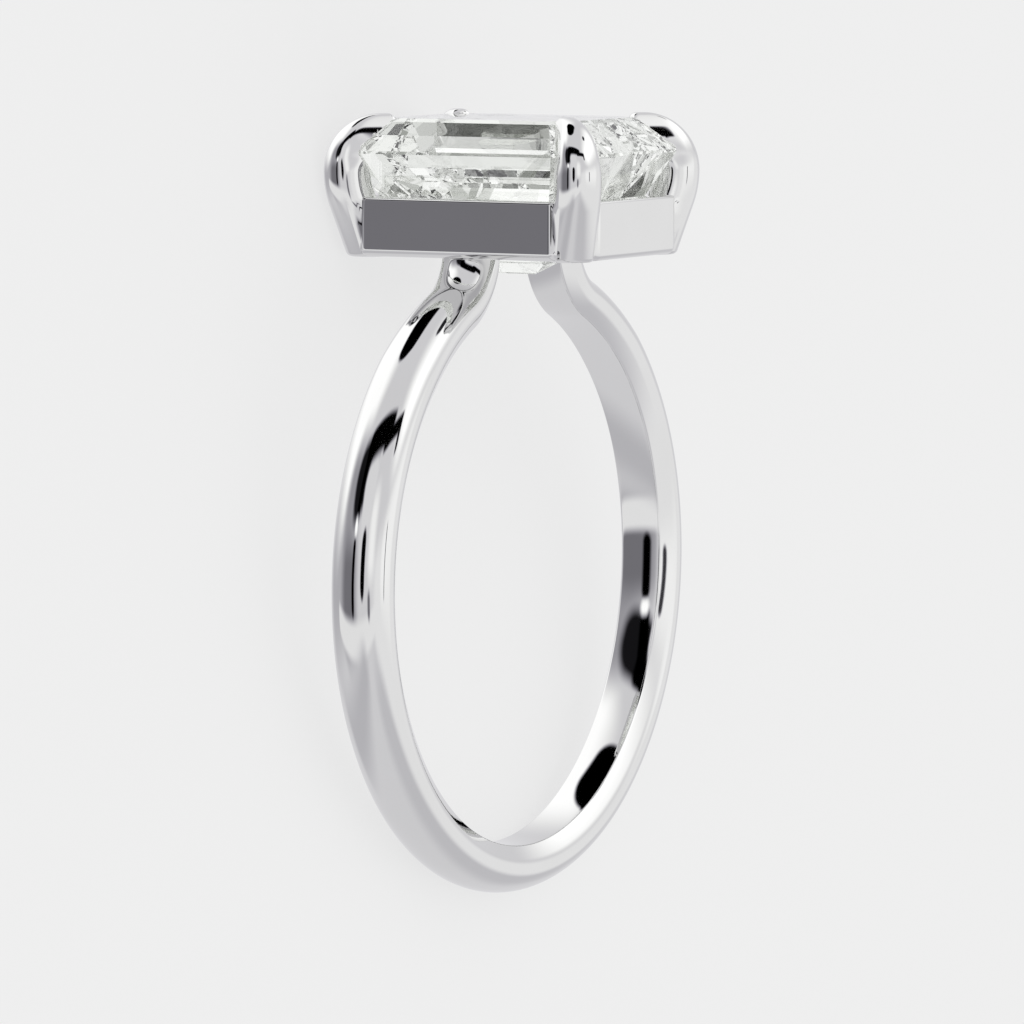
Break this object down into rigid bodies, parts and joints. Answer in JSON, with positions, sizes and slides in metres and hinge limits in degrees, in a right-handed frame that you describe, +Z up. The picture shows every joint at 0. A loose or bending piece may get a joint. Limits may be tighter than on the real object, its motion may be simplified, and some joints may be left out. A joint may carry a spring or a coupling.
{
  "type": "solitaire engagement ring",
  "caption": "Polished white metal finger ring whose shoulders sweep up to an open rectangular basket with bent corner claws that hold a clear emerald-cut stone.",
  "frame": {"origin": "on the surface that the ring lies on, under the middle of the box round the whole ring", "axes": "+Z up from the surface; +Y from the foot of the hoop towards the stone, level; +X across the hoop. The ring lies on its side, on two claws and the edge of the hoop, so the finger hole's axis leans 10.03 degrees from +Z towards -Y"},
  "size_m": [0.0196, 0.0238, 0.0093],
  "materials": {
    "white_metal": "mirror-polished white gold",
    "clear_stone": "colourless, polished facets"
  },
  "bodies": {
    "root": {"band_and_setting": "white_metal", "stone": "clear_stone"}
  },
  "joints": []
}
